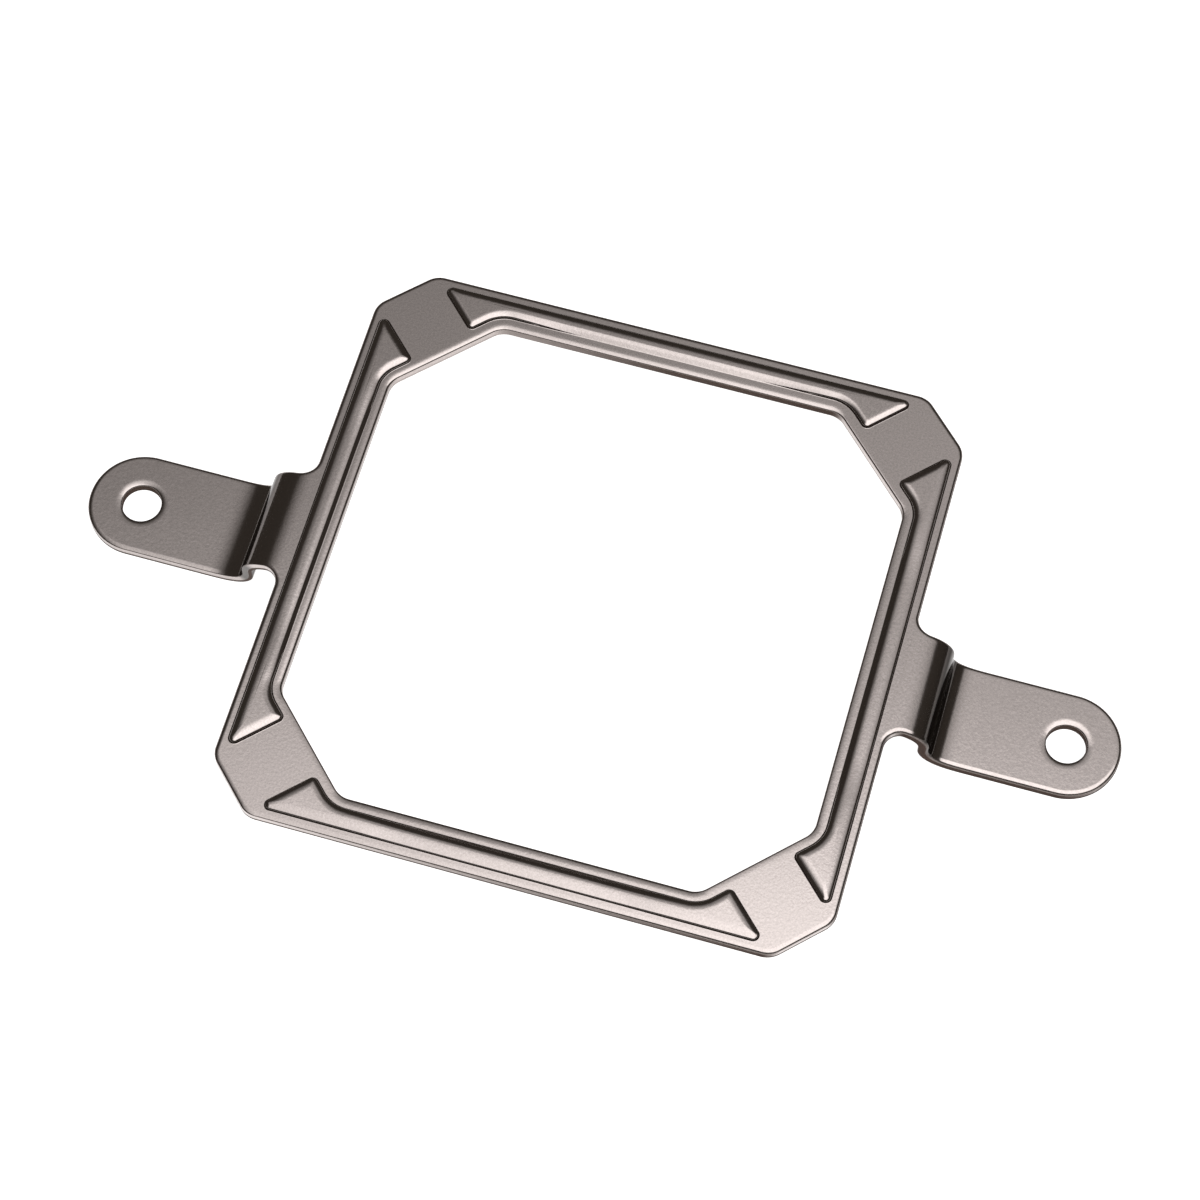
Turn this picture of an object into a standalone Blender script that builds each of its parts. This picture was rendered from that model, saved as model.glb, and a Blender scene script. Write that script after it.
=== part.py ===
"""Pressed sheet steel bracket that clamps a liquid cooler's pump to a processor socket.

One blank is cut, pressed and folded: a square frame with cut corners round an open middle, four
raised stiffening beads, and two ears that step down to the board and take a screw each.
The frame is centred on X and Y, the ears point along X, and the ears rest on z = 0.
"""

import math

import bmesh
import bpy
from mathutils import Matrix, Vector

# Driving sizes, in metres
SHEET = 0.0012
EDGE_ROUND = 0.00035

OPENING_SIDE = 0.0562
OPENING_CORNER_CUT = 0.0094
OPENING_CORNER_RADIUS = 0.0024

FLANGE_WIDTH = 0.0044
FRAME_CORNER_CUT = 0.0052
FRAME_CORNER_RADIUS = 0.0025

BEAD_HEIGHT = 0.0005
BEAD_MARGIN = 0.00095
BEAD_CORNER_RADIUS = 0.0008
BEAD_FULLNESS = 3.2
CORNER_BAND = 0.0067

EAR_WIDTH = 0.0114
EAR_DROP = 0.0054
EAR_FILLET = 0.0018
BEND_INNER_RADIUS = 0.0015
SCREW_SPACING = 0.1007
SCREW_HOLE = 0.0042

# A quarter turn: the angle of each fold, and from one side of the frame to the next
QUARTER_TURN = math.radians(90)

# Fineness of the mesh
ARC_STEP = math.radians(12)
BEND_STEP = math.radians(15)
BEAD_RINGS = (0.0, 0.1, 0.25, 0.45, 0.75)
SHARPEST_RADIUS = 0.00004
BEVEL_SEGMENTS = 2
RIM_ANGLE = math.radians(65)
SMOOTH_ANGLE = math.radians(30)
MERGE = 0.000001

# Black nickel plating
PLATING_COLOUR = (0.235, 0.215, 0.205, 1.0)
PLATING_ROUGHNESS = 0.28

# Places that follow from the driving sizes
OPENING_HALF = OPENING_SIDE / 2
FRAME_HALF = OPENING_HALF + FLANGE_WIDTH
EAR_HALF = EAR_WIDTH / 2
BEAD_HALF_WIDTH = FLANGE_WIDTH / 2 - BEAD_MARGIN
BEND_RADIUS = BEND_INNER_RADIUS + SHEET / 2
BEND_LENGTH = BEND_RADIUS * QUARTER_TURN
WALL_LENGTH = EAR_DROP - 2 * BEND_RADIUS

# The beads on the drawn half, in quarter turns from +Y: the +X one, and half of each beside it
DRAWN_BEADS = (0, 2, 3)

# Fold lines on the flat blank, counted from the middle of the frame
FIRST_BEND = FRAME_HALF + EAR_FILLET
WALL_START = FIRST_BEND + BEND_LENGTH
SECOND_BEND = WALL_START + WALL_LENGTH
EAR_START = SECOND_BEND + BEND_LENGTH
FOLD_SHORTENS = EAR_START - (FIRST_BEND + 2 * BEND_RADIUS)


def clear_scene():
    """Remove the objects that a new scene starts with."""
    for obj in list(bpy.data.objects):
        bpy.data.objects.remove(obj, do_unlink=True)


def rounded_outline(corners):
    """Points along a closed outline whose corners, given as x, y and radius, are rounded."""
    points = []
    befores = corners[-1:] + corners[:-1]
    afters = corners[1:] + corners[:1]
    for before, corner, after in zip(befores, corners, afters):
        tip, radius = Vector(corner[:2]), corner[2]
        into = (tip - Vector(before[:2])).normalized()
        out = (Vector(after[:2]) - tip).normalized()
        turn = math.atan2(into.x * out.y - into.y * out.x, into.dot(out))
        if radius == 0:
            points.append(tip)
            continue
        start = tip - into * radius * math.tan(abs(turn) / 2)
        inward = Vector((-into.y, into.x)) * math.copysign(radius, turn)
        steps = max(2, round(abs(turn) / ARC_STEP))
        for step in range(steps + 1):
            angle = turn * step / steps
            spoke = Vector((
                -inward.x * math.cos(angle) + inward.y * math.sin(angle),
                -inward.x * math.sin(angle) - inward.y * math.cos(angle),
            ))
            points.append(start + inward + spoke)
    return points


def circle(centre_x, diameter):
    """Points round a circle whose centre is on the X axis."""
    steps = round(2 * math.pi / ARC_STEP)
    angles = [2 * math.pi * step / steps for step in range(steps)]
    radius = diameter / 2
    return [Vector((centre_x + radius * math.cos(a), radius * math.sin(a))) for a in angles]


def cut_square(half, cut, radius):
    """Corners of a square with cut corners, anticlockwise from the lower right side."""
    near = half - cut
    places = [(half, -near), (half, near), (near, half), (-near, half)]
    places += [(-x, -y) for x, y in places]
    return [(x, y, radius) for x, y in places]


def frame_outline():
    """The frame's outline with the stub of one ear, up to the ear's first fold."""
    corners = cut_square(FRAME_HALF, FRAME_CORNER_CUT, FRAME_CORNER_RADIUS)
    stub = [
        (FRAME_HALF, -EAR_HALF, EAR_FILLET),
        (FIRST_BEND, -EAR_HALF, 0),
        (FIRST_BEND, EAR_HALF, 0),
        (FRAME_HALF, EAR_HALF, EAR_FILLET),
    ]
    return rounded_outline(corners[:1] + stub + corners[1:])


def ear_outline():
    """The flat of the ear, from its second fold to its full round end."""
    tip = SCREW_SPACING / 2 + FOLD_SHORTENS + EAR_HALF
    return rounded_outline([
        (EAR_START, -EAR_HALF, 0),
        (tip, -EAR_HALF, EAR_HALF),
        (tip, EAR_HALF, EAR_HALF),
        (EAR_START, EAR_HALF, 0),
    ])


def bead_outline(inset):
    """The bead on the +Y side, drawn in by the inset from the line where it leaves the frame.

    Its sides keep a margin to the frame's edge and to the opening's edge, also where the
    opening's corner is cut, and its ends are square to the cut corner.
    """
    outer = FRAME_HALF - BEAD_MARGIN - inset
    inner = OPENING_HALF + BEAD_MARGIN + inset
    diagonal = 2 * OPENING_HALF - OPENING_CORNER_CUT + math.sqrt(2) * (BEAD_MARGIN + inset)
    end = CORNER_BAND / math.sqrt(2) + math.sqrt(2) * inset
    tip_radius = max(BEAD_CORNER_RADIUS - inset, SHARPEST_RADIUS)
    throat_radius = OPENING_CORNER_RADIUS + BEAD_MARGIN + inset
    right = [
        (diagonal - inner, inner, throat_radius),
        ((diagonal - end) / 2, (diagonal + end) / 2, tip_radius),
        (outer - end, outer, tip_radius),
    ]
    left = [(-x, y, radius) for x, y, radius in reversed(right)]
    return rounded_outline(right + left)


def bead_rise(share):
    """Height of the bead at a share of its half width: a steep foot under a crowned top."""
    return BEAD_HEIGHT * (1 - (1 - share) ** BEAD_FULLNESS)


def add_loop(mesh, points, height=0.0):
    """Add a closed loop of edges, without points that fall on the one before."""
    kept = [p for p, last in zip(points, points[-1:] + points[:-1]) if (p - last).length > MERGE]
    verts = [mesh.verts.new((p.x, p.y, height)) for p in kept]
    return [mesh.edges.new(pair) for pair in zip(verts, verts[1:] + verts[:1])]


def press_bead(mesh, quarter_turns):
    """Loft one bead from ring to ring, close its top, and return the edges of its foot."""
    turn = Matrix.Rotation(QUARTER_TURN * quarter_turns, 2)
    rings = []
    for share in BEAD_RINGS:
        points = [turn @ point for point in bead_outline(share * BEAD_HALF_WIDTH)]
        rings.append(add_loop(mesh, points, bead_rise(share)))
    for lower, upper in zip(rings, rings[1:]):
        bmesh.ops.bridge_loops(mesh, edges=lower + upper)
    bmesh.ops.triangle_fill(mesh, edges=rings[-1], use_beauty=True)
    return rings[0]


def fold_stations():
    """Distances on the flat blank at which the ear's two bends are divided."""
    steps = round(QUARTER_TURN / BEND_STEP)
    bend = [BEND_LENGTH * step / steps for step in range(steps + 1)]
    return [FIRST_BEND + b for b in bend[1:]] + [SECOND_BEND + b for b in bend]


def extrude_strip(mesh, edge):
    """Carry the end edge of the ear's stub through both bends, one division at a time."""
    for station in fold_stations():
        made = bmesh.ops.extrude_edge_only(mesh, edges=[edge])["geom"]
        far_verts = [v for v in made if isinstance(v, bmesh.types.BMVert)]
        for vert in far_verts:
            vert.co.x = station
        edge = mesh.edges.get(far_verts)


def folded(point):
    """Where a point of the flat blank comes to lie once the ear is folded down and out.

    The middle of the sheet keeps its length, and each point keeps its distance from it.
    """
    x, y, height = point
    above_middle = height + SHEET / 2
    if x <= FIRST_BEND:
        return Vector(point)
    if x <= WALL_START:
        angle = (x - FIRST_BEND) / BEND_RADIUS
        reach = BEND_RADIUS + above_middle
        out = FIRST_BEND + reach * math.sin(angle)
        middle = reach * math.cos(angle) - BEND_RADIUS
    elif x <= SECOND_BEND:
        out = FIRST_BEND + BEND_RADIUS + above_middle
        middle = -BEND_RADIUS - (x - WALL_START)
    else:
        angle = min((x - SECOND_BEND) / BEND_RADIUS, QUARTER_TURN)
        reach = BEND_RADIUS - above_middle
        flat = max(x - EAR_START, 0)
        out = FIRST_BEND + 2 * BEND_RADIUS - reach * math.cos(angle) + flat
        middle = -BEND_RADIUS - WALL_LENGTH - reach * math.sin(angle)
    return Vector((out, y, middle - SHEET / 2))


def blank_mesh():
    """The pressed half of the bracket with its ear folded, as a closed solid."""
    mesh = bmesh.new()
    outline = add_loop(mesh, frame_outline())
    opening = add_loop(mesh, rounded_outline(
        cut_square(OPENING_HALF, OPENING_CORNER_CUT, OPENING_CORNER_RADIUS)))
    feet = [edge for quarter_turns in DRAWN_BEADS for edge in press_bead(mesh, quarter_turns)]
    stub_end = next(e for e in outline if all(abs(v.co.x - FIRST_BEND) < MERGE for v in e.verts))
    bmesh.ops.triangle_fill(mesh, edges=outline + opening + feet, use_beauty=True)

    extrude_strip(mesh, stub_end)
    ear = add_loop(mesh, ear_outline())
    hole = add_loop(mesh, circle(SCREW_SPACING / 2 + FOLD_SHORTENS, SCREW_HOLE))
    bmesh.ops.triangle_fill(mesh, edges=ear + hole, use_beauty=True)
    bmesh.ops.remove_doubles(mesh, verts=mesh.verts[:], dist=MERGE)

    made = bmesh.ops.extrude_face_region(mesh, geom=mesh.faces[:])["geom"]
    underside = [v for v in made if isinstance(v, bmesh.types.BMVert)]
    bmesh.ops.translate(mesh, verts=underside, vec=(0, 0, -SHEET))
    for vert in mesh.verts:
        vert.co = folded(vert.co)
    bmesh.ops.recalc_face_normals(mesh, faces=mesh.faces[:])
    return mesh


def plating():
    """Dark, slightly warm mirror plating with a little haze."""
    material = bpy.data.materials.new("black_nickel_plating")
    material.use_nodes = True
    shader = material.node_tree.nodes["Principled BSDF"]
    shader.inputs["Base Color"].default_value = PLATING_COLOUR
    shader.inputs["Metallic"].default_value = 1.0
    shader.inputs["Roughness"].default_value = PLATING_ROUGHNESS
    material.diffuse_color = PLATING_COLOUR
    return material


def build_bracket(collection):
    """The whole bracket: the drawn half, mirrored, with every cut edge rounded."""
    data = bpy.data.meshes.new("mounting_bracket")
    mesh = blank_mesh()
    mesh.to_mesh(data)
    mesh.free()
    data.materials.append(plating())
    data.shade_smooth()
    data.set_sharp_from_angle(angle=SMOOTH_ANGLE)

    bracket = bpy.data.objects.new("mounting_bracket", data)
    bracket.location.z = EAR_DROP + SHEET
    collection.objects.link(bracket)

    mirror = bracket.modifiers.new("other_half", "MIRROR")
    mirror.use_axis = (True, False, False)
    mirror.use_bisect_axis = (True, False, False)
    mirror.merge_threshold = MERGE

    bevel = bracket.modifiers.new("rounded_edges", "BEVEL")
    bevel.limit_method = "ANGLE"
    bevel.angle_limit = RIM_ANGLE
    bevel.offset_type = "OFFSET"
    bevel.width = EDGE_ROUND
    bevel.segments = BEVEL_SEGMENTS
    bevel.use_clamp_overlap = False
    return bracket


def main():
    clear_scene()
    collection = bpy.data.collections.new("cooler_mounting_bracket")
    bpy.context.scene.collection.children.link(collection)
    build_bracket(collection)


main()
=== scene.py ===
"""Dresses the pressed steel bracket that holds a liquid cooler's pump on a processor socket.

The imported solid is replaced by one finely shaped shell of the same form: the sheet's rolled-over
upper edges, its sheared walls, the soft pressed beads with their grooves below, and the two folded
ears. Its finish is black nickel plating. A studio with a pale floor and a softbox above shows it.
"""

import logging
import math
from collections.abc import Callable
from dataclasses import dataclass, field
from enum import Enum
from typing import Any

import bmesh
import bpy
import numpy as np
from mathutils import Matrix, Vector


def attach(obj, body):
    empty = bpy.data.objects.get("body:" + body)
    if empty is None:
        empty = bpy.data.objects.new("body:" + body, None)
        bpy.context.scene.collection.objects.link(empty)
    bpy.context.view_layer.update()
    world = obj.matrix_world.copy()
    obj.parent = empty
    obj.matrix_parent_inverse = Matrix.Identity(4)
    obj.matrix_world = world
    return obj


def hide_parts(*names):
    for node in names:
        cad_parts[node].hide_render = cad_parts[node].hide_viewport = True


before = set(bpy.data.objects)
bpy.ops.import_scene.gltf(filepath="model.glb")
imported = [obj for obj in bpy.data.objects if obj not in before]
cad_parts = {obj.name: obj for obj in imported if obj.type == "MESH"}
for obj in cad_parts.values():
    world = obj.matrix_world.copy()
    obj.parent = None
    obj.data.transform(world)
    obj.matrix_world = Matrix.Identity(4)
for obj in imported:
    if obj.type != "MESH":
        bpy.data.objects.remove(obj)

LOG = logging.getLogger("bracket_scene")
NODE = "mounting_bracket"
BODY = "root"
MM = 0.001
QUARTER = math.pi / 2

# Millimetres: less than any step from one row of points to the next
TINY = 0.001
# Decimal places of a millimetre at which points are welded, and rings of a bead are one
WELD_DIGITS = 4
RING_DIGITS = 3
# Radians by which a flat is turned to be filled
FILL_TURN = 0.31
# Twice the area, in square millimetres, that rounding may leave out of a filled flat
FILL_SLACK = 0.5
# Blender's cloudy noise hardly ever leaves this range
NOISE_RANGE = (0.3, 0.7)
# The shader's usual specular level
FULL_SHINE = 0.5


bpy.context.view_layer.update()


class Face(Enum):
    """The two faces of the sheet, with the way each one looks."""

    UPPER = 1
    LOWER = -1


# Small helpers


def linear(hex_colour: str) -> tuple[float, float, float, float]:
    """Turn an sRGB hex colour into linear light.

    Args:
        hex_colour: Six hex digits, such as "8a8583".

    Returns:
        Linear red, green and blue, and an alpha of one.
    """
    parts = [int(hex_colour[k:k + 2], 16) / 255 for k in (0, 2, 4)]
    light = [p / 12.92 if p <= 0.04045 else ((p + 0.055) / 1.055) ** 2.4 for p in parts]
    return (light[0], light[1], light[2], 1.0)


def add_node(tree: Any, kind: str, values: dict[Any, Any] | None = None, **settings: Any) -> Any:
    """Add a shader node with its settings, input values and links.

    Args:
        tree: The node tree that takes the node.
        kind: Blender's name of the node's type.
        values: What each input gets: a number, a colour or another node's output.
        settings: Properties of the node itself.

    Returns:
        The new node.
    """
    made = tree.nodes.new(kind)
    for name, value in settings.items():
        setattr(made, name, value)
    for socket, value in (values or {}).items():
        if isinstance(value, bpy.types.NodeSocket):
            tree.links.new(value, made.inputs[socket])
        else:
            made.inputs[socket].default_value = value
    return made


def new_tree(block: Any) -> Any:
    """Switch a material or world to nodes and return its emptied tree."""
    block.use_nodes = True
    block.node_tree.nodes.clear()
    return block.node_tree


def eased(values: np.ndarray, start: float, end: float) -> np.ndarray:
    """Rise smoothly from 0 at start to 1 at end: 3 t^2 - 2 t^3 of the way between them."""
    t = np.clip((values - start) / (end - start), 0, 1)
    return t * t * (3 - 2 * t)


def turned(points: np.ndarray, quarters: int) -> np.ndarray:
    """Turn points about Z by whole quarter turns: x, y becomes -y, x at each one."""
    c, s = ((1, 0), (0, 1), (-1, 0), (0, -1))[quarters % 4]
    out = points.copy()
    out[..., 0] = c * points[..., 0] - s * points[..., 1]
    out[..., 1] = s * points[..., 0] + c * points[..., 1]
    return out


def filled(points: np.ndarray, edges: np.ndarray) -> tuple[np.ndarray, float]:
    """Fill the area inside closed loops on a flat page with triangles.

    Args:
        points: Places of all the loops' points in X and Y.
        edges: Numbers of the two points at the ends of each edge.

    Returns:
        Numbers of each triangle's corners, anticlockwise, and twice the filled area.
    """
    page = bpy.data.meshes.new("page")
    page.from_pydata(np.column_stack([points, np.zeros(len(points))]).tolist(), edges.tolist(), [])
    patch = bmesh.new()
    patch.from_mesh(page)
    bmesh.ops.triangle_fill(patch, edges=patch.edges[:], use_beauty=True, normal=(0, 0, 1))
    patch.to_mesh(page)
    patch.free()
    corners = np.empty(len(page.loops), np.int32)
    page.loops.foreach_get("vertex_index", corners)
    places = np.empty(3 * len(page.vertices), np.float32)
    page.vertices.foreach_get("co", places)
    bpy.data.meshes.remove(page)
    corners, places = corners.reshape(-1, 3), places.reshape(-1, 3).astype(float)
    first, second, third = (places[corners[:, k], :2] for k in range(3))
    doubled = np.cross(second - first, third - first)
    return np.where(doubled[:, None] > 0, corners, corners[:, ::-1]), float(np.abs(doubled).sum())


# Lines on the flat blank


@dataclass(frozen=True)
class Line:
    """A line on the blank, with the sheet on its left side.

    Attributes:
        points: Places along the line, in millimetres, one row each.
        inward: Unit vectors at right angles to the line, into the sheet.
    """

    points: np.ndarray
    inward: np.ndarray

    def all_round(self) -> "Line":
        """Join a line from the X axis to the Y axis with its three mirrored copies.

        Returns:
            The closed line, anticlockwise, without its doubled points.
        """
        upper_p = np.concatenate([self.points, (self.points * (-1, 1))[-2::-1]])
        upper_n = np.concatenate([self.inward, (self.inward * (-1, 1))[-2::-1]])
        points = np.concatenate([upper_p[:-1], -upper_p[:-1]])
        return Line(points, np.concatenate([upper_n[:-1], -upper_n[:-1]]))

    def reversed(self) -> "Line":
        """The same line the other way, so that the sheet is on its other side."""
        return Line(self.points[::-1], -self.inward[::-1])

    def with_stops(self, stops: np.ndarray) -> "Line":
        """Add points at given lengths along the line, on its straight stretches.

        Args:
            stops: Lengths from the line's start, in millimetres.

        Returns:
            The line with the points added in order.
        """
        steps = np.linalg.norm(np.diff(self.points, axis=0), axis=1)
        along = np.concatenate([[0.0], np.cumsum(steps)])
        every = np.union1d(along, stops)
        points, inward = (
            np.column_stack([np.interp(every, along, column) for column in rows.T])
            for rows in (self.points, self.inward))
        return Line(points, inward / np.linalg.norm(inward, axis=1)[:, None])


def rounded_line(corners: list[tuple[float, float, float]], arc_step: float, guard: float) -> Line:
    """A polyline whose corners are rounded by arcs.

    At a corner that turns by an angle t with radius r, the arc starts r tan(t/2) before it. Each
    arc point is the centre less the inward normal times r, as the direction turns from 0 to t.

    Args:
        corners: X, Y and radius of each corner; the first and the last are the line's ends.
        arc_step: Largest turn from one arc point to the next, in radians.
        guard: Distance of the extra point that each straight gets beside an arc.

    Returns:
        The rounded line, with the sheet on its left.
    """
    tips = np.array([corner[:2] for corner in corners], float)
    legs = np.diff(tips, axis=0)
    legs /= np.linalg.norm(legs, axis=1)[:, None]
    left = np.column_stack([-legs[:, 1], legs[:, 0]])
    points, inward = [tips[:1]], [left[:1]]
    for k, (_, _, radius) in enumerate(corners[1:-1], start=1):
        into, out = legs[k - 1], legs[k]
        turn = math.atan2(into[0] * out[1] - into[1] * out[0], float(into @ out))
        back = radius * math.tan(abs(turn) / 2)
        bend = math.copysign(radius, turn)
        centre = tips[k] - into * back + left[k - 1] * bend
        angle = np.linspace(0, turn, max(2, round(abs(turn) / arc_step)) + 1)[:, None]
        normal = left[k - 1] * np.cos(angle) - into * np.sin(angle)
        before = tips[k] - into * (back + guard)
        after = tips[k] + out * (back + guard)
        points += [before[None], centre - normal * bend, after[None]]
        inward += [left[k - 1:k], normal, left[k:k + 1]]
    points.append(tips[-1:])
    inward.append(left[-1:])
    return Line(np.concatenate(points), np.concatenate(inward))


# The shell under construction


@dataclass
class Shell:
    """Corner points and faces of the bracket's skin, gathered patch by patch."""

    points: list[np.ndarray] = field(default_factory=list)
    sheared: list[np.ndarray] = field(default_factory=list)
    faces: list[np.ndarray] = field(default_factory=list)
    count: int = 0

    def add_points(self, points: np.ndarray, sheared: np.ndarray | float = 0.0) -> int:
        """Take in points and return the number of the first one."""
        first = self.count
        flat = points.reshape(-1, 3)
        self.points.append(flat)
        self.sheared.append(np.broadcast_to(sheared, points.shape[:-1]).reshape(-1))
        self.count += len(flat)
        return first

    def add_grid(self, grid: np.ndarray, face: Face, closed: bool,
                 sheared: np.ndarray | float = 0.0) -> None:
        """Add a sheet of quads over a grid of points.

        Args:
            grid: Points by row and column, shape (rows, columns, 3).
            face: UPPER keeps the order row, column as it is seen anticlockwise; LOWER flips it.
            closed: Whether the last row joins the first.
            sheared: Share of dull sheared wall at each point, laid on in part as painted shade.
        """
        rows, columns = grid.shape[:2]
        first = self.add_points(grid, sheared)
        number = first + np.arange(rows * columns).reshape(rows, columns)
        near = number if closed else number[:-1]
        far = np.roll(number, -1, axis=0) if closed else number[1:]
        quads = np.stack([near[:, :-1], near[:, 1:], far[:, 1:], far[:, :-1]], axis=-1)
        quads = quads.reshape(-1, 4)
        self.faces.append(quads if face is Face.UPPER else quads[:, ::-1])

    def add_flat(self, loops: list[np.ndarray], sheet: float) -> None:
        """Fill the area between closed loops with triangles, above and below the sheet.

        The loops are turned a little first, so that no two points share a height on the page, and
        the filled area is checked against them.

        Args:
            loops: The outer loop and the holes' loops, each (n, 3) at one height.
            sheet: Thickness between the upper patch and its copy below.
        """
        points = np.concatenate(loops)
        number = np.arange(len(points))
        rings = np.split(number, np.cumsum([len(loop) for loop in loops])[:-1])
        edges = np.column_stack([number, np.concatenate([np.roll(ring, -1) for ring in rings])])
        c, s = math.cos(FILL_TURN), math.sin(FILL_TURN)
        corners, doubled = filled(points[:, :2] @ ((c, s), (-s, c)), edges)
        inside = [
            abs(float(np.cross(loop[:, :2], np.roll(loop[:, :2], -1, axis=0)).sum())) for loop in loops]
        if abs(doubled - 2 * max(inside) + sum(inside)) > FILL_SLACK:
            raise ValueError("a flat of the sheet was not filled whole")
        first = self.add_points(points)
        self.faces.append(corners + first)
        first = self.add_points(points - (0, 0, sheet))
        self.faces.append(corners[:, ::-1] + first)

    def to_mesh(self, name: str, place: Callable[[np.ndarray], tuple[np.ndarray, np.ndarray]]) -> Any:
        """Weld the patches into one mesh.

        Args:
            name: The mesh's name.
            place: Function that takes blank points in millimetres to their folded places and to their
                share of painted shade in the folds.

        Returns:
            The mesh, in metres, with its sheared walls and the painted shade of its folds marked in
            attributes.
        """
        points = np.concatenate(self.points)
        sheared = np.concatenate(self.sheared)
        _, keep, back = np.unique(
            np.round(points, WELD_DIGITS), axis=0, return_index=True, return_inverse=True)
        back = back.reshape(-1)
        mesh = bpy.data.meshes.new(name)
        faces = [back[block].tolist() for block in self.faces]
        placed, fold_shade = place(points[keep])
        mesh.from_pydata((placed * MM).tolist(), [], [f for block in faces for f in block])
        for mark, share in (("sheared", sheared[keep]), ("fold_shade", fold_shade)):
            values = mesh.attributes.new(mark, "FLOAT", "POINT").data
            values.foreach_set("value", share.astype(np.float32))
        mesh.shade_smooth()
        mesh.update()
        return mesh


# Sizes of the pressed part


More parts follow.
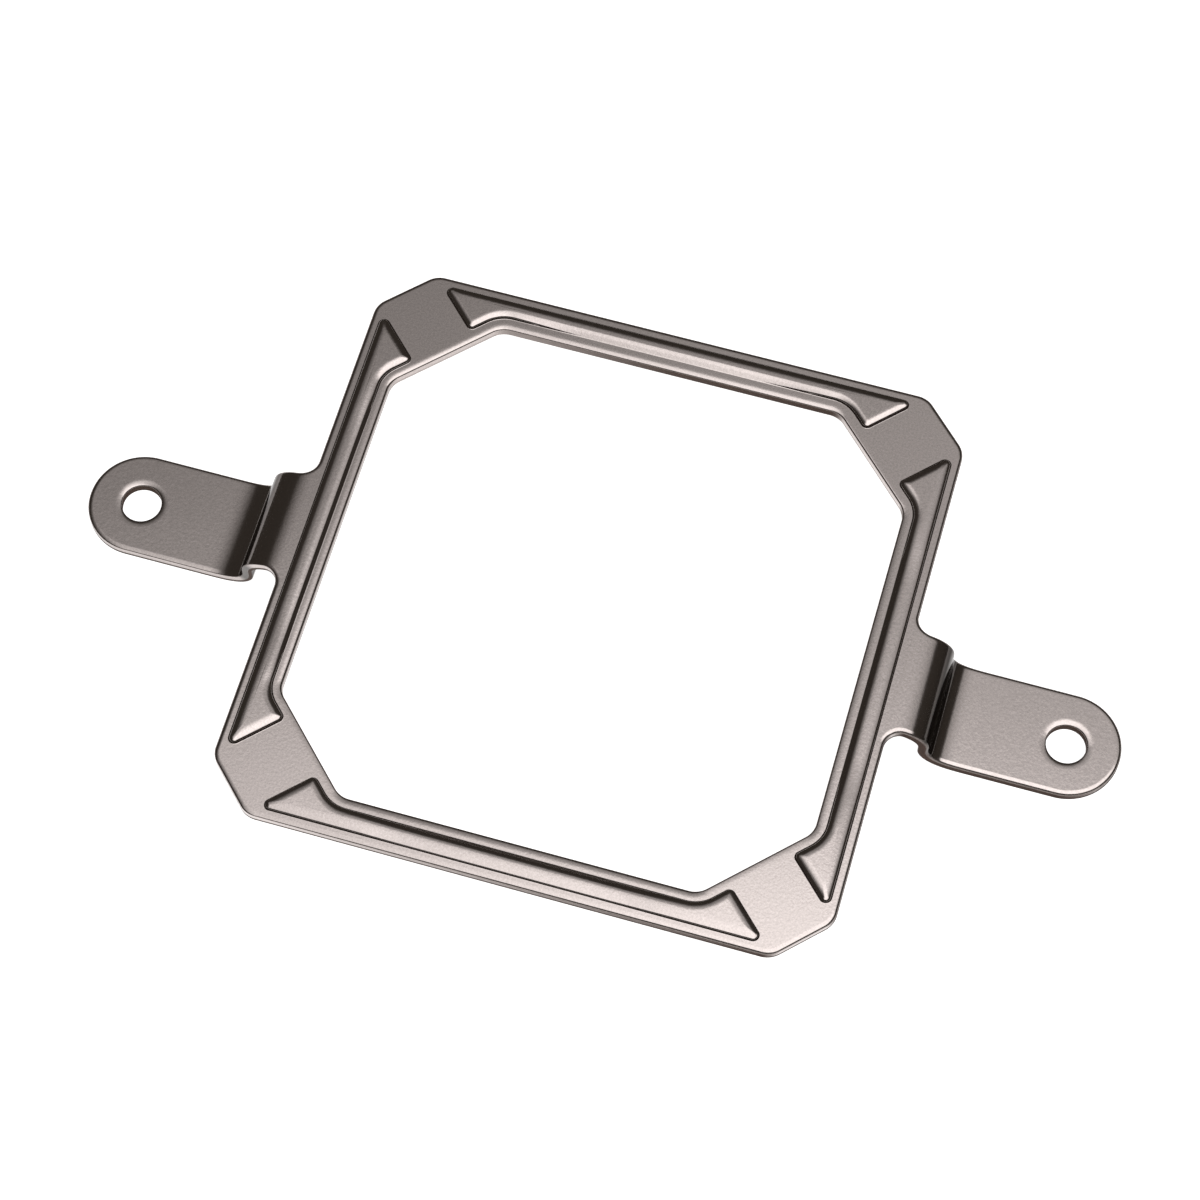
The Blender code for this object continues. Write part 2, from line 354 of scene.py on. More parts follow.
@dataclass(frozen=True)
class CutEdge:
    """Section through the sheet's edge as a press tool leaves it, in millimetres.

    The upper edge is drawn down a little before it shears, so it rolls over softly and then turns
    into the wall; the lower edge is only rounded. The wall takes the plating dull and brown, and that
    dull brown is laid on in a pattern of painted shade: strongest on the sides square to the frame,
    most of all on the right, and nearly bright on the diagonal cuts. On the front left, and by half on
    the front right cut, the tool cut crisply, with a small upper radius and a bright wall. On the
    opening's left the upper corner is blunt. Low down the sheet broke, and the wall is dull all round.

    Attributes:
        sheet: Thickness of the sheet.
        roll_width: How far from the edge the roll-over starts.
        roll_tilt: Its tilt at the upper corner, in radians.
        roll_power: Power of the way with which it drops.
        cut_roll: Share of it on diagonal walls, but for those that face the front right.
        back_roll: Share of it on walls that face the back.
        upper_radius: Radius of the upper corner.
        crisp_radius: The same where the tool cut crisply.
        blunt_radius: The same on walls that face right.
        blunt_focus: Power that keeps the blunt corner to those walls.
        lower_radius: Radius of the lower corner.
        burnish_end: Depth of the smooth band of the wall.
        break_height: Height over which the smooth band ends.
        fracture: Least share of dull wall below it.
        guard: Width of flat kept beside the roll-over and the lower corner.
        bright_cut: Share of dull wall on diagonal cuts.
        dull_and_shade_left: Share of dull, painted-shade wall on the left; the right is all dull.
        right_shade_span: Places in X between which that share rises, so the walls are painted darker
            towards the right.
        right_shade_span: Places in X between which that share rises.
        crisp: Share of the crisp cut.
        crisp_span: Places in X between which it fades out.
        blunt_ear: Places in X between which a round wall gets as much of the painted dull shade as a
            square one.
        roll_points: Rows of points in the roll-over.
        arc_points: Rows of points in each corner.
    """

    sheet: float = 1.2
    roll_width: float = 0.55
    roll_tilt: float = math.radians(9)
    roll_power: float = 2.0
    cut_roll: float = 1.0
    back_roll: float = 0.5
    upper_radius: float = 0.38
    crisp_radius: float = 0.12
    blunt_radius: float = 0.38
    blunt_focus: float = 8.0
    lower_radius: float = 0.12
    burnish_end: float = 0.72
    break_height: float = 0.08
    fracture: float = 0.9
    guard: float = 0.03
    bright_cut: float = 0.1
    dull_and_shade_left: float = 0.5
    right_shade_span: tuple[float, float] = (-30.0, 5.0)
    crisp: float = 1.0
    crisp_span: tuple[float, float] = (-30.0, 28.0)
    blunt_ear: tuple[float, float] = (33.0, 45.0)
    roll_points: int = 8
    arc_points: int = 8

    @property
    def reach(self) -> float:
        """How far from the edge the flat of the sheet begins."""
        return self.roll_width + self.guard

    def section(self, radius: float) -> np.ndarray:
        """The edge's section from the upper flat, round the wall, to the lower flat.

        The roll-over drops as the power of the way from its start to the upper corner; both
        corners are arcs, and their tangents run on without a break.

        Args:
            radius: Radius of the upper corner.

        Returns:
            Rows of inset, height without the roll-over, drop of the roll-over, share of sheared
            wall, and share of the burnished band.
        """
        corner_start = radius * (1 - math.sin(self.roll_tilt))
        run = self.roll_width - corner_start
        drop = run * math.tan(self.roll_tilt) / self.roll_power
        t = np.linspace(0, 1, self.roll_points)
        zero = np.zeros_like(t)
        roll = np.column_stack([
            self.roll_width - run * t, zero, drop * t ** self.roll_power, zero, zero])
        tilt = np.linspace(self.roll_tilt, QUARTER, self.arc_points)[1:]
        share = np.linspace(0, 1, len(tilt)) ** 2
        upper = np.column_stack([
            radius * (1 - np.sin(tilt)), radius * (np.cos(tilt) - math.cos(self.roll_tilt)),
            np.full(len(tilt), drop), share, share])
        bands = np.array([
            [0.0, -self.burnish_end, 0.0, 1.0, 1.0],
            [0.0, -self.burnish_end - self.break_height, 0.0, 1.0, 0.0]])
        fall = np.linspace(0, QUARTER, self.arc_points)
        foot = -self.sheet + self.lower_radius
        none = np.zeros_like(fall)
        lower = np.column_stack([
            self.lower_radius * (1 - np.cos(fall)), foot - self.lower_radius * np.sin(fall),
            none, np.linspace(1, 0, len(fall)), none])
        flat = np.array([[self.reach, 0.0, 0.0, 0.0, 0.0]])
        low_flat = np.array([
            [self.lower_radius + self.guard, -self.sheet, 0, 0, 0], [self.reach, -self.sheet, 0, 0, 0]])
        return np.concatenate([flat, roll, upper, bands, lower, low_flat])

    def along(self, line: Line, shell: Shell) -> np.ndarray:
        """Carry the section along a closed line: point = line + inset x inward, at its height.

        Args:
            line: The cut line, with the sheet on its left.
            shell: Takes the surface.

        Returns:
            The loop in which the surface meets the sheet's upper flat.
        """
        x, inward_x, inward_y = line.points[:, :1], line.inward[:, :1], line.inward[:, 1:]
        square = np.abs(inward_x ** 2 - inward_y ** 2)
        front_right = np.maximum(inward_y - inward_x, 0) ** 2 / 2
        front = np.maximum(inward_y, 0) * (1 - eased(x, *self.crisp_span))
        crisp = self.crisp * np.maximum(front, (1 - square) * front_right / 2)
        blunt = np.maximum(-inward_x, 0) ** self.blunt_focus
        plainly, crisply, bluntly = (
            self.section(radius).T[:, None]
            for radius in (self.upper_radius, self.crisp_radius, self.blunt_radius))
        inset, height, roll, sheared, burnish = (
            plainly + (crisply - plainly) * crisp + (bluntly - plainly) * blunt)
        rolled = 1 - (1 - self.cut_roll) * (1 - square) * (1 - front_right)
        rolled = rolled * (1 - (1 - self.back_roll) * np.maximum(-inward_y, 0))
        flat = line.points[:, None] + line.inward[:, None] * inset[..., None]
        grid = np.concatenate([flat, (height - roll * rolled)[..., None]], axis=-1)
        # Painted shade: the dull brown grows from the left towards the right
        right_shade = self.dull_and_shade_left + (1 - self.dull_and_shade_left) * eased(x, *self.right_shade_span)
        # Painted shade: square walls, and round ones on the ears, take the dull brown; diagonal cuts
        # little
        plain = np.maximum(square, eased(x, *self.blunt_ear))
        dull = self.bright_cut + (1 - self.bright_cut) * plain * right_shade
        broken = np.maximum(dull, self.fracture)
        wall = broken + (dull * (1 - crisp) - broken) * burnish
        shell.add_grid(grid, Face.UPPER, True, sheared * wall)
        return grid[:, 0]


@dataclass(frozen=True)
class BeadWall:
    """How one side of a bead climbs from the flat to its crown, in millimetres and radians.

    Attributes:
        foot_width: Width over which the sheet turns up from the flat.
        wall_tilt: Tilt of the straight wall.
        shoulder_radius: Radius of the arc from the wall to the crown.
        crown_tilt: Tilt at which the crown starts.
        foot_power: Power of the way with which the foot's tilt grows.
        crown_power: Power of the distance from the spine with which the crown drops.
        top_share: Share of the crown's width that gets rings of points.
        arc_points: Rings in the foot, and in the shoulder.
        crown_points: Rings in the crown.
        fine_points: Points in the sum that gives the foot's height.
    """

    foot_width: float
    wall_tilt: float
    shoulder_radius: float
    crown_tilt: float = math.radians(21)
    foot_power: float = 1.5
    crown_power: float = 2.8
    top_share: float = 0.97
    arc_points: int = 8
    crown_points: int = 8
    fine_points: int = 701

    def climb(self, half_width: float, height: float) -> np.ndarray:
        """The section of the side, as distance from the foot line and height.

        The tilt grows from zero as a power of the way up the foot, a straight wall follows, an arc
        turns it down to the crown's tilt, and the crown levels off at the spine, its drop below
        the top being a power of the distance from the spine. The wall takes up the height left.

        Args:
            half_width: Distance from the foot line to the bead's spine.
            height: Height of the spine over the flat.

        Returns:
            Rows of distance and height.
        """
        t = np.linspace(0, 1, self.arc_points)
        fine = np.linspace(0, 1, self.fine_points)
        slope = np.tan(self.wall_tilt * fine ** self.foot_power)
        rise = np.concatenate([[0.0], np.cumsum((slope[1:] + slope[:-1]) / 2 * np.diff(fine))])
        foot = self.foot_width * np.column_stack([t, np.interp(t, fine, rise)])
        tilt = np.linspace(self.wall_tilt, self.crown_tilt, self.arc_points)[1:]
        arc = self.shoulder_radius * np.column_stack([
            math.sin(self.wall_tilt) - np.sin(tilt), np.cos(tilt) - math.cos(self.wall_tilt)])
        steep, gentle = math.tan(self.wall_tilt), math.tan(self.crown_tilt) / self.crown_power
        room = half_width - foot[-1, 0] - arc[-1, 0]
        wall = (height - foot[-1, 1] - arc[-1, 1] - gentle * room) / (steep - gentle)
        start = foot[-1] + (wall, wall * steep)
        span = half_width - start[0] - arc[-1, 0]
        left = np.linspace(1, 1 - self.top_share, self.crown_points + 1)[1:]
        crown = np.column_stack([
            half_width - span * left, height - gentle * span * left ** self.crown_power])
        return np.concatenate([foot, start[None], start + arc, crown])


STEEP_SIDE = BeadWall(foot_width=0.08, wall_tilt=math.radians(72), shoulder_radius=0.22)
ROUND_SIDE = BeadWall(foot_width=0.08, wall_tilt=math.radians(66), shoulder_radius=0.44)
GENTLE_SIDE = BeadWall(foot_width=0.12, wall_tilt=math.radians(42), shoulder_radius=0.4)


@dataclass(frozen=True)
class Bead:
    """One raised stiffening bead, in millimetres, drawn on the +Y side of the frame.

    Its outer side and its ends are steep. Its side along the opening is gentle at mid-span, where
    the bead is also lower.

    Attributes:
        outer_margin: Width of flat between the bead and the frame's edge.
        inner_margin: Width of flat between the bead and the opening.
        outer: Section of the outer side and the ends.
        inner: Section of the side along the opening, at mid-span.
        tip_radius: Radius of the bead's two tips at its foot.
        least_radius: Least radius of the tips farther up.
        corner_band: Width of the flat band that crosses each corner of the frame.
        height: Height of the spine over the flat.
        sag: Share of the height that is missing at mid-span.
        gentle_from: Place along the bead from which the inner side gets steeper.
        gentle_to: Place from which it is as steep as the outer side.
        arc_step: Largest turn between points of a rounded corner, in radians.
        guard: Distance of the extra points beside a rounded corner.
        stop_gap: Distance between points along the straight sides.
        skirt: How far the surface runs out on to the flat.
        least_step: Least distance between two rings.
    """

    outer_margin: float
    inner_margin: float
    outer: BeadWall = STEEP_SIDE
    inner: BeadWall = GENTLE_SIDE
    tip_radius: float = 0.7
    least_radius: float = 0.2
    corner_band: float = 6.9
    height: float = 0.494
    sag: float = 0.25
    gentle_from: float = 11.0
    gentle_to: float = 18.0
    arc_step: float = math.radians(5)
    guard: float = 0.3
    stop_gap: float = 2.0
    skirt: float = 0.02
    least_step: float = 0.004

    def insets(self, half_width: float) -> np.ndarray:
        """Distances from the foot line at which the bead's surface gets a ring."""
        both = [wall.climb(half_width, self.height)[:, 0] for wall in (self.outer, self.inner)]
        every = np.unique(np.round(np.concatenate(both), RING_DIGITS))
        kept = every[np.concatenate([[True], np.diff(every) > self.least_step])]
        return np.concatenate([[-self.skirt], kept])

    def rise(self, insets: np.ndarray, half_width: float, rings: np.ndarray, spine: float) -> np.ndarray:
        """Height of the bead's surface over the flat.

        Args:
            insets: Distance of each ring from the foot line, in a column.
            half_width: Distance from the foot line to the bead's spine.
            rings: Places of the points, rings by points by X and Y.
            spine: Place of the spine in Y.

        Returns:
            Heights, rings by points: the two sections mixed, less the sag at mid-span.
        """
        steep, gentle = (
            np.interp(insets, *wall.climb(half_width, self.height).T)
            for wall in (self.outer, self.inner))
        middle = 1 - eased(np.abs(rings[..., 0]), self.gentle_from, self.gentle_to)
        mixed = steep + (gentle - steep) * middle * (rings[..., 1] < spine)
        return mixed * (1 - self.sag * middle)


@dataclass(frozen=True)
class Joggle:
    """The two bends that bring an ear down to the board, in millimetres along the middle of the sheet.

    Each bend is a quarter turn that starts softly on its flat side and is tightest at the wall.

    Attributes:
        frame_end: Distance from the frame's middle at which the first bend starts.
        wall_at: Distance of the upright wall.
        ear_end: Distance at which the second bend ends.
        drop: Height from the ear's top face to the frame's.
        frame_softness: Power of the way with which the first bend leans over.
        ear_softness: The same for the second bend.
        shade_lean: Leans between which the deep part of the joggle is painted dark, as shade.
        points: Steps in which each bend is summed up.
        stops: Rows of points in each bend.
    """

    frame_end: float = 32.3
    wall_at: float = 36.4
    ear_end: float = 41.5
    drop: float = 5.4
    frame_softness: float = 2.0
    ear_softness: float = 2.6
    shade_lean: tuple[float, float] = (math.radians(30), math.radians(60))
    points: int = 400
    stops: int = 60

    def path(self) -> np.ndarray:
        """The folded middle line of the sheet.

        In a bend the lean is a quarter turn x (way along it)^softness, counted from its flat side.
        Its length follows from its reach: reach = length x mean cosine of the lean.

        Returns:
            Rows of length along the blank, X, height below the start, and lean.
        """
        t = (np.arange(self.points) + 0.5) / self.points
        near, far = QUARTER * t ** self.frame_softness, QUARTER * t ** self.ear_softness
        first = (self.wall_at - self.frame_end) / np.cos(near).mean()
        second = (self.ear_end - self.wall_at) / np.cos(far).mean()
        wall = self.drop - first * np.sin(near).mean() - second * np.sin(far).mean()
        steps = np.concatenate([
            np.full(self.points, first / self.points), [wall], np.full(self.points, second / self.points)])
        middle = np.concatenate([near, [QUARTER], far[::-1]])
        along, x, z = (
            np.concatenate([[0.0], np.cumsum(steps * share)])
            for share in (1.0, np.cos(middle), -np.sin(middle)))
        t = np.linspace(0, 1, self.points + 1)
        lean = np.concatenate([t ** self.frame_softness, t[::-1] ** self.ear_softness]) * QUARTER
        return np.column_stack([self.frame_end + along, self.frame_end + x, z, lean])

    def fold_shade(self, along: np.ndarray, lean: np.ndarray) -> np.ndarray:
        """Share of the deep part of the joggle that is painted dark, as shade in the fold."""
        return eased(lean, *self.shade_lean) * (along > self.frame_end)


@dataclass
class Bracket:
    """The whole pressed bracket; sizes in millimetres, as the solid's are.

    Lengths along the ears are counted on the flat blank, from the middle of the frame. The beads
    are given for the back, left, front and right sides. Each has margins of its own, as the press
    tool sat slightly off centre, and the left and right ones have rounder outer shoulders.
    """

    opening_side: float = 56.2
    opening_cut: float = 9.4
    opening_radius: float = 2.4
    flange: float = 4.4
    frame_cut: float = 5.2
    frame_radius: float = 2.5
    ear_width: float = 11.4
    ear_fillet: float = 1.8
    screw_spacing: float = 100.7
    screw_hole: float = 4.2
    edge: CutEdge = field(default_factory=CutEdge)
    opening_edge: CutEdge = CutEdge(
        roll_width=0.86, roll_power=2.6, upper_radius=0.18, cut_roll=0.3, back_roll=1.0, crisp=0.0,
        fracture=0.3, dull_and_shade_left=0.25)
    # The screw holes' walls take the dull brown all round, as painted shade
    hole_edge: CutEdge = CutEdge(
        roll_width=0.8, roll_power=2.4, upper_radius=0.16, blunt_radius=0.16, back_roll=1.0, crisp=0.0,
        bright_cut=1.0)
    beads: tuple[Bead, ...] = (
        Bead(outer_margin=1.0, inner_margin=1.22),
        Bead(outer_margin=0.92, inner_margin=0.93, outer=ROUND_SIDE),
        Bead(outer_margin=0.88, inner_margin=1.08),
        Bead(outer_margin=0.86, inner_margin=1.02, outer=ROUND_SIDE),
    )
    joggle: Joggle = field(default_factory=Joggle)
    arc_step: float = math.radians(3)
    opening_guard: float = 0.3
    hole_points: int = 120

    def __post_init__(self) -> None:
        """Work out the places that follow from the sizes."""
        self.opening_half = self.opening_side / 2
        self.frame_half = self.opening_half + self.flange
        self.ear_half = self.ear_width / 2
        self.middle_line = self.joggle.path()
        self.ear_start = float(self.middle_line[-1, 0])
        self.screw_x = self.screw_spacing / 2 + self.ear_start - self.joggle.ear_end
        self.tip_x = self.screw_x + self.ear_half
        self.top = self.joggle.drop + self.edge.sheet

    def outline(self) -> Line:
        """The blank's closed outline: ears, fillets and cut corners."""
        near = self.frame_half - self.frame_cut
        quarter = rounded_line([
            (self.tip_x, 0, 0),
            (self.tip_x, self.ear_half, self.ear_half - TINY),
            (self.frame_half, self.ear_half, self.ear_fillet),
            (self.frame_half, near, self.frame_radius),
            (near, self.frame_half, self.frame_radius),
            (0, self.frame_half, 0),
        ], self.arc_step, 0.0)
        ear_end = len(quarter.points[quarter.points[:, 0] >= self.screw_x - TINY])
        steps = np.linalg.norm(np.diff(quarter.points[:ear_end], axis=0), axis=1)
        stations = np.linspace(self.frame_half + self.ear_fillet, self.ear_start, 2 * self.joggle.stops)
        stops = steps.sum() + quarter.points[ear_end - 1, 0] - stations
        return quarter.with_stops(stops).all_round()

    def opening(self) -> Line:
        """The closed outline of the opening, clockwise, so that the sheet is on its left."""
        near = self.opening_half - self.opening_cut
        quarter = rounded_line([
            (self.opening_half, 0, 0),
            (self.opening_half, near, self.opening_radius),
            (near, self.opening_half, self.opening_radius),
            (0, self.opening_half, 0),
        ], self.arc_step, self.opening_guard)
        return quarter.all_round().reversed()

    def hole(self, side: int) -> Line:
        """The screw hole in the ear on one side, clockwise."""
        angle = np.linspace(0, -2 * math.pi, self.hole_points + 1)[:-1]
        spoke = np.column_stack([np.cos(angle), np.sin(angle)])
        return Line(spoke * self.screw_hole / 2 + (side * self.screw_x, 0), spoke)

    def bead_ring(self, bead: Bead, inset: float) -> np.ndarray:
        """The bead's outline drawn in by an inset, anticlockwise from its left end.

        Its sides keep a margin to the frame's edge and to the opening, also along the opening's
        cut corner, and its ends are square to the corner's diagonal band.

        Args:
            bead: The bead of one side.
            inset: Distance inward from the foot line; below zero it is outward.

        Returns:
            Points of the ring in X and Y.
        """
        outer = self.frame_half - bead.outer_margin - inset
        inner = self.opening_half + bead.inner_margin + inset
        diagonal = 2 * self.opening_half - self.opening_cut + math.sqrt(2) * (bead.inner_margin + inset)
        end = bead.corner_band / math.sqrt(2) + math.sqrt(2) * inset
        tip = max(bead.tip_radius - inset, bead.least_radius)
        line = rounded_line([
            (0, inner, 0),
            (diagonal - inner, inner, self.opening_radius + bead.inner_margin + inset),
            ((diagonal - end) / 2, (diagonal + end) / 2, tip),
            (outer - end, outer, tip),
            (0, outer, 0),
        ], bead.arc_step, bead.guard)
        length = np.linalg.norm(np.diff(line.points, axis=0), axis=1).sum()
        stops = np.arange(bead.stop_gap, bead.gentle_to, bead.stop_gap)
        half = line.with_stops(np.concatenate([stops, length - stops])).points
        return np.concatenate([half, (half * (-1, 1))[-2:0:-1]])

    def press_beads(self, shell: Shell) -> list[np.ndarray]:
        """Raise the four beads, with their grooves below.

        The surface is a ring of the bead's outline at each inset, at the height of its rise.

        Args:
            shell: Takes the surfaces.

        Returns:
            The loop in which each bead meets the flat.
        """
        below = np.array([0, 0, self.edge.sheet])
        feet = []
        for quarters, bead in enumerate(self.beads):
            inner = self.opening_half + bead.inner_margin
            outer = self.frame_half - bead.outer_margin
            half_width = (outer - inner) / 2
            insets = bead.insets(half_width)
            rings = np.stack([self.bead_ring(bead, float(inset)) for inset in insets])
            height = bead.rise(insets[:, None], half_width, rings, (inner + outer) / 2)
            drawn = np.concatenate([rings, height[..., None]], axis=-1).transpose(1, 0, 2)
            grid = turned(drawn, quarters)
            shell.add_grid(grid, Face.LOWER, True)
            shell.add_grid(grid - below, Face.UPPER, True)
            shell.add_flat([grid[:, -1]], self.edge.sheet)
            feet.append(grid[:, 0])
        return feet

    def bend_row(self, rim: np.ndarray) -> float:
        """The last row of the rim's points on the flat, before the first bend."""
        return float(rim[rim[:, 0] <= self.joggle.frame_end, 0].max())

    def add_ear(self, shell: Shell, rim: np.ndarray, hole: np.ndarray, side: int) -> None:
        """Add the upper and lower skin of one ear, from its first bend to its end.

        Args:
            shell: Takes the surfaces.
            rim: Loop of the outline's edge on the upper flat.
            hole: Loop of the screw hole's edge on the upper flat.
            side: 1 for the ear on +X, -1 for the one on -X.
        """
        reach = rim[:, 0] * side
        strip = (reach > self.bend_row(rim) - TINY) & (reach < self.ear_start + TINY)
        low, high = (rim[strip & (rim[:, 1] * side * way > 0)] for way in (-1, 1))
        low, high = (row[np.argsort(row[:, 0] * side)] for row in (low, high))
        grid = np.stack([low, high], axis=1)
        shell.add_grid(grid, Face.LOWER, False)
        shell.add_grid(grid - (0, 0, self.edge.sheet), Face.UPPER, False)
        end = rim[reach > self.ear_start - TINY]
        shell.add_flat([end, hole], self.edge.sheet)

    def folded(self, blank: np.ndarray) -> tuple[np.ndarray, np.ndarray]:
        """Where points of the blank come to lie once both ears are folded.

        The blank's length runs along the sheet's middle face, and a point keeps its distance from
        that face: x = middle x + distance x sin(lean), z = middle z + distance x cos(lean).

        Args:
            blank: Points in millimetres, the upper face of the frame at height 0.

        Returns:
            The folded points, with the ears' underside at height 0, and their share of painted fold shade.
        """
        out, height = np.abs(blank[:, 0]), blank[:, 2] + self.edge.sheet / 2
        along, x, z, lean = self.middle_line.T
        lean = np.interp(out, along, lean)
        past = np.maximum(out - along[-1], 0)
        x = np.where(out < along[0], out, np.interp(out, along, x) + past) + height * np.sin(lean)
        z = np.interp(out, along, z) + height * np.cos(lean) - self.edge.sheet / 2
        placed = np.column_stack([np.copysign(x, blank[:, 0]), blank[:, 1], z + self.top])
        return placed, self.joggle.fold_shade(out, lean)

    def build(self) -> Any:
        """Build the bracket's skin as one closed mesh.

        Returns:
            The object, at the origin.
        """
        shell = Shell()
        rim = self.edge.along(self.outline(), shell)
        opening = self.opening_edge.along(self.opening(), shell)
        feet = self.press_beads(shell)
        frame_rim = rim[np.abs(rim[:, 0]) < self.bend_row(rim) + TINY]
        shell.add_flat([frame_rim, opening, *feet], self.edge.sheet)
        for side in (1, -1):
            hole = self.hole_edge.along(self.hole(side), shell)
            self.add_ear(shell, rim, hole, side)
        mesh = shell.to_mesh("pressed_bracket", self.folded)
        piece = bpy.data.objects.new("pressed_bracket", mesh)
        bpy.context.scene.collection.objects.link(piece)
        return piece

    def dress(self, piece: Any, finish: "BlackNickel") -> None:
        """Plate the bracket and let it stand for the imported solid."""
        piece.data.materials.append(finish.material())
        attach(piece, BODY)
        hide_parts(NODE)


# Finishes


@dataclass(frozen=True)
class BlackNickel:
    """Black nickel electroplated on pressed steel: a dark, slightly warm mirror.

    The pressing leaves a fine orange peel that the thin plating follows, which makes the mirror
    soft. The sheared walls take the plating dull and brown, laid on in a pattern of painted shade,
    and the deep parts of the folds are painted dark as shade. The peel and its grain are too fine to
    show, so they are drawn coarser.
    """

    colour: str = "b4aba8"
    # Dull brown of the sheared walls, laid on as painted shade where the pattern puts it
    sheared_colour: str = "74645d"
    roughness: float = 0.13
    sheared_roughness: float = 0.6
    # Painted shade in the deep parts of the folds
    fold_shade_colour: str = "565250"
    peel_mm: float = 0.36
    peel_depth_mm: float = 0.0032
    peel_detail: float = 2.0
    grain_mm: float = 0.22
    grain_depth_mm: float = 0.0015
    grain_detail: float = 1.0
    noise_power: float = 0.5
    speckle: float = 0.07

    def material(self) -> Any:
        """Build the plating from its values."""
        block = bpy.data.materials.new("black_nickel_plating")
        tree = new_tree(block)
        place = add_node(tree, "ShaderNodeTexCoord").outputs["Object"]
        peel, grain = (
            add_node(tree, "ShaderNodeTexNoise", {
                "Vector": place, "Scale": 1 / (size * MM), "Detail": detail,
                "Roughness": self.noise_power}).outputs["Fac"]
            for size, detail in (
                (self.peel_mm, self.peel_detail), (self.grain_mm, self.grain_detail)))
        sheared, fold_shade = (
            add_node(tree, "ShaderNodeAttribute", attribute_name=mark).outputs["Fac"]
            for mark in ("sheared", "fold_shade"))
        level = add_node(tree, "ShaderNodeMapRange", {
            "Value": grain, "From Min": NOISE_RANGE[0], "From Max": NOISE_RANGE[1],
            "To Min": 1 - self.speckle, "To Max": 1 + self.speckle}).outputs["Result"]
        # Painted shade: the folds' deep parts take the darker colour
        base = add_node(tree, "ShaderNodeMix", {
            0: fold_shade, 6: linear(self.colour), 7: linear(self.fold_shade_colour)}, data_type="RGBA")
        plated = add_node(tree, "ShaderNodeVectorMath", {
            0: base.outputs[2], "Scale": level}, operation="SCALE").outputs["Vector"]
        # Painted shade: the sheared mark mixes in the walls' dull brown
        colour = add_node(tree, "ShaderNodeMix", {
            0: sheared, 6: plated, 7: linear(self.sheared_colour)}, data_type="RGBA")
        metal = add_node(tree, "ShaderNodeMath", {0: 1.0, 1: sheared},
                         operation="SUBTRACT").outputs[0]
        shine = add_node(tree, "ShaderNodeMath", {0: metal, 1: FULL_SHINE},
                         operation="MULTIPLY").outputs[0]
        rough = add_node(tree, "ShaderNodeMapRange", {
            "Value": sheared, "To Min": self.roughness, "To Max": self.sheared_roughness})
        waves = add_node(tree, "ShaderNodeBump", {
            "Height": peel, "Distance": self.peel_depth_mm * MM, "Strength": 1.0})
        skin = add_node(tree, "ShaderNodeBump", {
            "Height": grain, "Distance": self.grain_depth_mm * MM, "Strength": 1.0,
            "Normal": waves.outputs["Normal"]})
        shader = add_node(tree, "ShaderNodeBsdfPrincipled", {
            "Base Color": colour.outputs[2], "Roughness": rough.outputs["Result"],
            "Metallic": metal, "Specular IOR Level": shine, "Normal": skin.outputs["Normal"]})
        add_node(tree, "ShaderNodeOutputMaterial", {"Surface": shader.outputs["BSDF"]})
        return block


@dataclass(frozen=True)
class PaleFloor:
    """Matt white studio paper: the camera and the metal see it white, with the object's shadow.

    Attributes:
        base_light: Light that the camera sees it give.
        mirror_light: Light that the metal sees it give, as a share of that.
        contact_shade_mm: Distance from the object up to which the metal sees it shaded.
        shade_rays: Rays that feel for the object.
        grazing: How edge-on the metal sees it as it starts to darken, and once it is dark.
    """

    colour: str = "f4f4f4"
    base_light: float = 0.9
    mirror_light: float = 1.2
    contact_shade_mm: float = 8.0
    shade_rays: int = 8
    grazing: tuple[float, float] = (0.4, 0.7)
    roughness: float = 0.9

    def material(self) -> Any:
        """Build the floor's paper from its values."""
        block = bpy.data.materials.new("white_studio_paper")
        tree = new_tree(block)
        path = add_node(tree, "ShaderNodeLightPath")
        facing = add_node(tree, "ShaderNodeLayerWeight", {"Blend": 0.5}).outputs["Facing"]
        steep = add_node(tree, "ShaderNodeMapRange", {
            "Value": facing, "From Min": self.grazing[0], "From Max": self.grazing[1],
            "To Min": 1.0, "To Max": 0.0}, interpolation_type="SMOOTHSTEP").outputs["Result"]
        open_sky = add_node(tree, "ShaderNodeAmbientOcclusion", {
            "Distance": self.contact_shade_mm * MM}, samples=self.shade_rays).outputs["AO"]
        mirrored = path.outputs["Is Glossy Ray"]
        for share in (open_sky, steep, self.mirror_light):
            mirrored = add_node(tree, "ShaderNodeMath", {0: mirrored, 1: share},
                                operation="MULTIPLY").outputs[0]
        seen = path.outputs["Is Camera Ray"]
        for more in (mirrored, path.outputs["Is Transmission Ray"]):
            seen = add_node(tree, "ShaderNodeMath", {0: seen, 1: more}, operation="ADD").outputs[0]
        strength = add_node(tree, "ShaderNodeMath", {0: seen, 1: self.base_light},
                            operation="MULTIPLY").outputs[0]
        paper = add_node(tree, "ShaderNodeBsdfDiffuse", {
            "Color": linear(self.colour), "Roughness": self.roughness})
        glow = add_node(tree, "ShaderNodeEmission", {"Strength": strength})
        both = add_node(tree, "ShaderNodeAddShader", {
            0: paper.outputs["BSDF"], 1: glow.outputs["Emission"]})
        add_node(tree, "ShaderNodeOutputMaterial", {"Surface": both.outputs["Shader"]})
        return block


# Studio


@dataclass(frozen=True)
class Fade:
    """A change of the softbox's light over one slope of the direction in which it is seen.

    Attributes:
        axis: X for the slope x/z from straight up, and Y for y/z.
        start: Slope at which the fade starts.
        end: Slope at which it ends.
        first: Share of the light at its start.
        last: Share of the light at its end.
        power: Power of the way between the two.
    """

    axis: str
    start: float
    end: float
    first: float = 0.0
    last: float = 1.0
    power: float = 1.0


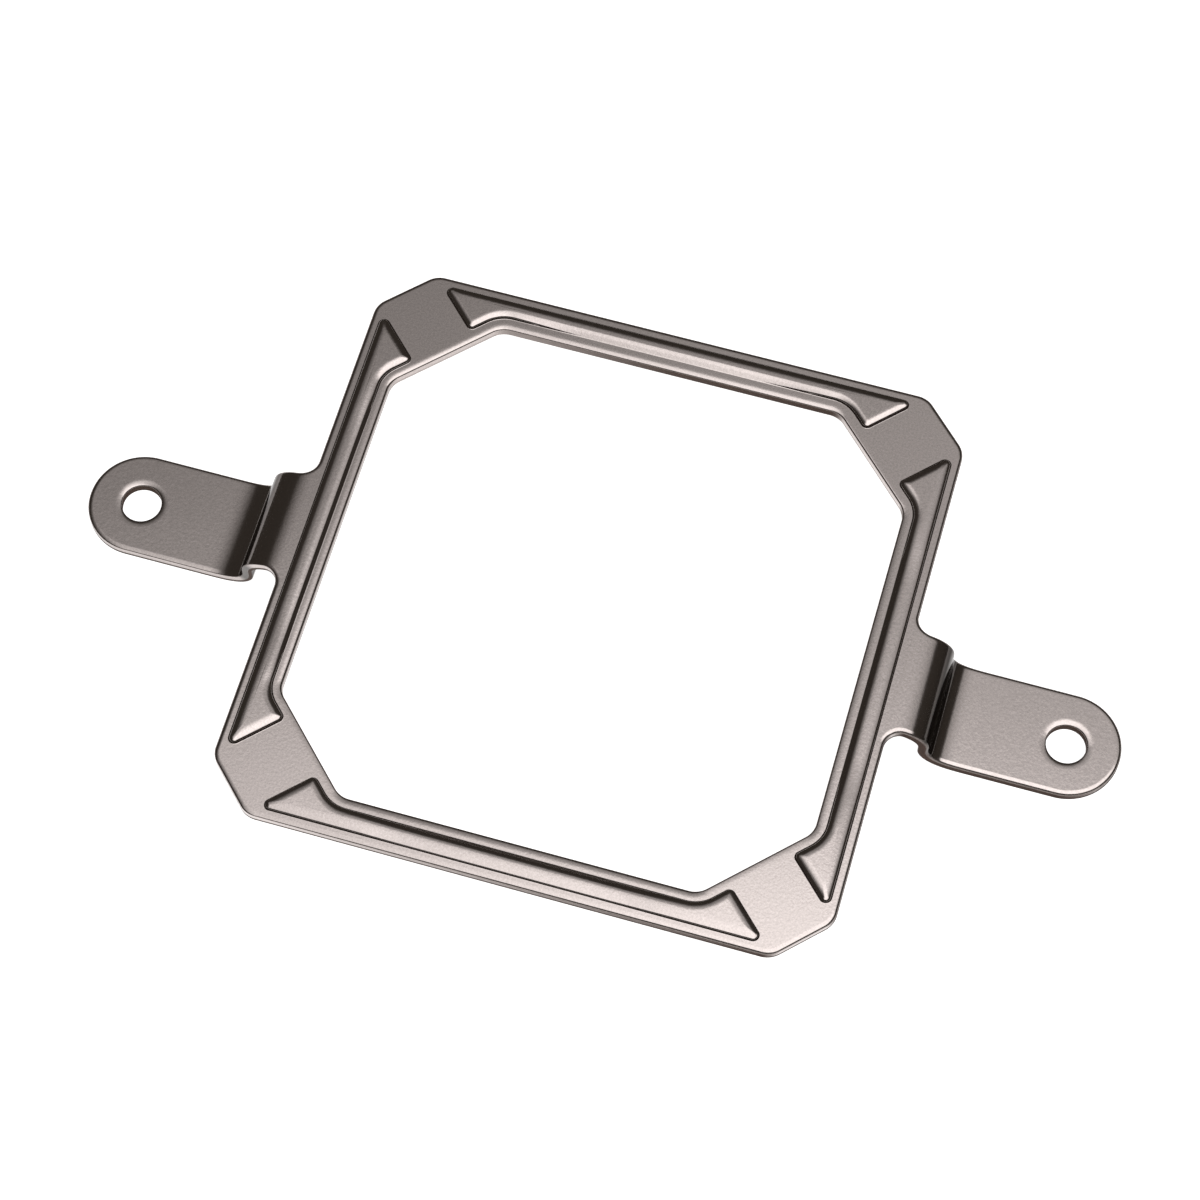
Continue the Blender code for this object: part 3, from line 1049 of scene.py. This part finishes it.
@dataclass
class Studio:
    """Floor, light and camera round the object; sizes in millimetres.

    The softbox is full from the right to the front, fades towards the left and the back, and ends
    in soft edges. Its far share reaches farther left and back than the rest.
    """

    floor_side: float = 6000.0
    floor_points: int = 3
    paper: PaleFloor = field(default_factory=PaleFloor)
    camera_at: tuple[float, float, float] = (43.355, -144.697, 327.074)
    aim_at: tuple[float, float, float] = (0.422, 0.034, 6.6)
    camera_roll: float = math.radians(-0.4717)
    lens: float = 103.0
    sensor: float = 36.0
    clip_start: float = 10.0
    softbox: float = 2.75
    far_share: float = 0.28
    far_left: Fade = Fade("X", -0.58, -0.03)
    far_back: Fade = Fade("Y", 0.72, 0.56)
    near_left: Fade = Fade("X", -0.42, -0.03)
    near_back: Fade = Fade("Y", 0.468, 0.362, power=2.0)
    right: tuple[Fade, ...] = (Fade("X", 0.3, 0.8, 1.0, 0.7), Fade("X", 0.95, 0.7, power=2.0))
    front: Fade = Fade("Y", -1.05, -0.85)
    least_rise: float = 0.02
    surroundings: str = "403c37"
    backdrop: str = "ffffff"

    def lay_floor(self) -> Any:
        """Lay the floor under the ears as a flat grid of X by Y."""
        half = self.floor_side / 2 * MM
        across = np.linspace(-half, half, self.floor_points)
        x, y = np.meshgrid(across, across)
        points = np.stack([x, y, np.zeros_like(x)], axis=-1).reshape(-1, 3)
        number = np.arange(self.floor_points ** 2).reshape(self.floor_points, -1)
        quads = np.stack([number[:-1, :-1], number[:-1, 1:], number[1:, 1:], number[1:, :-1]], axis=-1)
        mesh = bpy.data.meshes.new("floor")
        mesh.from_pydata(points.tolist(), [], quads.reshape(-1, 4).tolist())
        mesh.materials.append(self.paper.material())
        floor = bpy.data.objects.new("floor", mesh)
        bpy.context.scene.collection.objects.link(floor)
        return floor

    def faded(self, tree: Any, slopes: dict[str, Any], light: Any, fades: tuple[Fade, ...]) -> Any:
        """Multiply a light by fades over direction: level = first + (last - first) x way^power.

        Args:
            tree: The world's nodes.
            slopes: The output that carries each axis's slope.
            light: The light at its fullest.
            fades: The fades, one after the other.

        Returns:
            The output that carries the faded light.
        """
        for fade in fades:
            way = add_node(tree, "ShaderNodeMapRange", {
                "Value": slopes[fade.axis], "From Min": fade.start, "From Max": fade.end})
            bent = add_node(tree, "ShaderNodeMath", {0: way.outputs["Result"], 1: fade.power},
                            operation="POWER").outputs[0]
            level = add_node(tree, "ShaderNodeMapRange", {
                "Value": bent, "To Min": fade.first, "To Max": fade.last}).outputs["Result"]
            light = add_node(tree, "ShaderNodeMath", {0: light, 1: level},
                             operation="MULTIPLY").outputs[0]
        return light

    def hang_softbox(self) -> None:
        """Light the object from a wide softbox overhead, as the only bright part of the world."""
        world = bpy.data.worlds.new("softbox_overhead")
        bpy.context.scene.world = world
        tree = new_tree(world)
        way = add_node(tree, "ShaderNodeTexCoord").outputs["Generated"]
        axes = add_node(tree, "ShaderNodeSeparateXYZ", {0: way})
        rise = add_node(tree, "ShaderNodeMath", {0: axes.outputs["Z"], 1: self.least_rise},
                        operation="MAXIMUM").outputs[0]
        slopes = {
            axis: add_node(tree, "ShaderNodeMath", {0: axes.outputs[axis], 1: rise},
                           operation="DIVIDE").outputs[0] for axis in ("X", "Y")}
        wide = self.far_share * self.softbox
        far = self.faded(tree, slopes, wide, (
            self.far_left, *self.right, self.far_back, self.front))
        near = self.faded(tree, slopes, self.softbox - wide, (
            self.near_left, *self.right, self.near_back, self.front))
        light = add_node(tree, "ShaderNodeMath", {0: far, 1: near}, operation="ADD").outputs[0]
        path = add_node(tree, "ShaderNodeLightPath")
        box = add_node(tree, "ShaderNodeBackground", {"Strength": light})
        walls = add_node(tree, "ShaderNodeBackground", {"Color": linear(self.surroundings)})
        room = add_node(tree, "ShaderNodeAddShader", {0: box.outputs[0], 1: walls.outputs[0]})
        white = add_node(tree, "ShaderNodeBackground", {"Color": linear(self.backdrop)})
        seen = add_node(tree, "ShaderNodeMixShader", {
            0: path.outputs["Is Camera Ray"], 1: room.outputs[0], 2: white.outputs[0]})
        add_node(tree, "ShaderNodeOutputWorld", {"Surface": seen.outputs[0]})

    def set_camera(self) -> None:
        """Place the camera where the photograph was taken from."""
        data = bpy.data.cameras.new("camera")
        data.sensor_width = self.sensor
        data.lens = self.lens
        data.clip_start = self.clip_start * MM
        camera = bpy.data.objects.new("camera", data)
        at, aim = Vector(self.camera_at) * MM, Vector(self.aim_at) * MM
        look = (aim - at).to_track_quat("-Z", "Y").to_matrix().to_4x4()
        camera.matrix_world = Matrix.Translation(at) @ look @ Matrix.Rotation(self.camera_roll, 4, "Z")
        bpy.context.scene.collection.objects.link(camera)
        bpy.context.scene.camera = camera


def main() -> None:
    """Build the bracket and its studio, and report each piece."""
    logging.basicConfig(level=logging.INFO, format="%(message)s")
    bracket = Bracket()
    piece = bracket.build()
    bracket.dress(piece, BlackNickel())
    LOG.info("%s: %d faces", piece.name, len(piece.data.polygons))
    studio = Studio()
    LOG.info("%s laid", studio.lay_floor().name)
    studio.hang_softbox()
    studio.set_camera()
    bpy.context.scene.view_settings.view_transform = "Standard"


if __name__ == "__main__":
    main()
